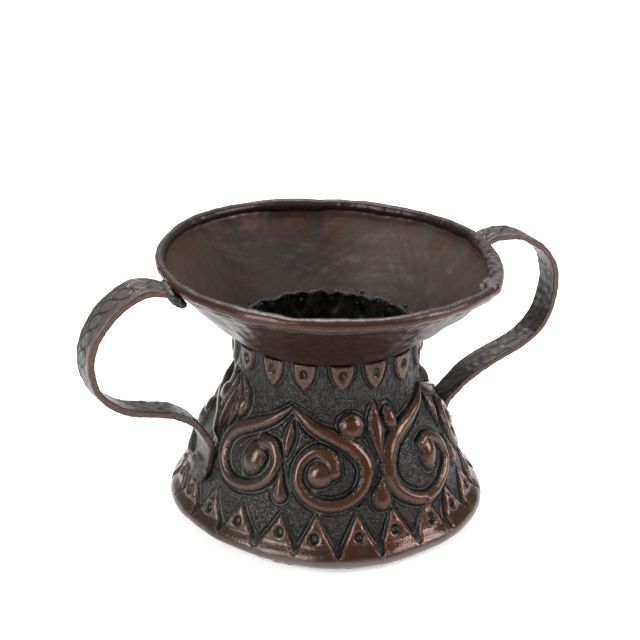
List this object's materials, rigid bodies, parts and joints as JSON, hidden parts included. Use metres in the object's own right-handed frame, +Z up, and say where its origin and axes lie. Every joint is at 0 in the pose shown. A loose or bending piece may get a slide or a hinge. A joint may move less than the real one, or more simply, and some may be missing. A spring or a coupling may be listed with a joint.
{
  "type": "two-handled embossed copper pot",
  "caption": "Squat raised copper vessel with a waisted foot embossed all round, a wide plain conical mouth with a rolled rim, and a bent strap handle on each side",
  "frame": {"origin": "on the ground at the centre of the foot", "axes": "+Z is up, +X points through the right handle, +Y points away from the side that is seen first"},
  "size_m": [0.1822, 0.1192, 0.0955],
  "materials": {
    "raised_copper": "embossed copper with a dark brown patina, worn to reddish brown on the raised work",
    "sheet_copper": "planished copper sheet with a dark brown satin patina",
    "strap_copper": "hand-filed copper strap, brown and satin",
    "braze": "rough brazing metal, dull and partly green",
    "solder": "soft solder gone pale and green",
    "wire": "bare copper wire"
  },
  "bodies": {
    "root": {"body_shell": "raised_copper", "mouth_funnel": "sheet_copper", "left_handle": "strap_copper", "right_handle": "strap_copper", "left_handle_upper_braze": "braze", "left_handle_lower_braze": "braze", "right_handle_upper_braze": "braze", "right_handle_lower_braze": "braze", "neck_seam_solder": "solder", "bottom_seam_solder": "solder", "rim_patch": "solder", "rim_wire": "wire", "bottom_disc": "sheet_copper"}
  },
  "joints": []
}
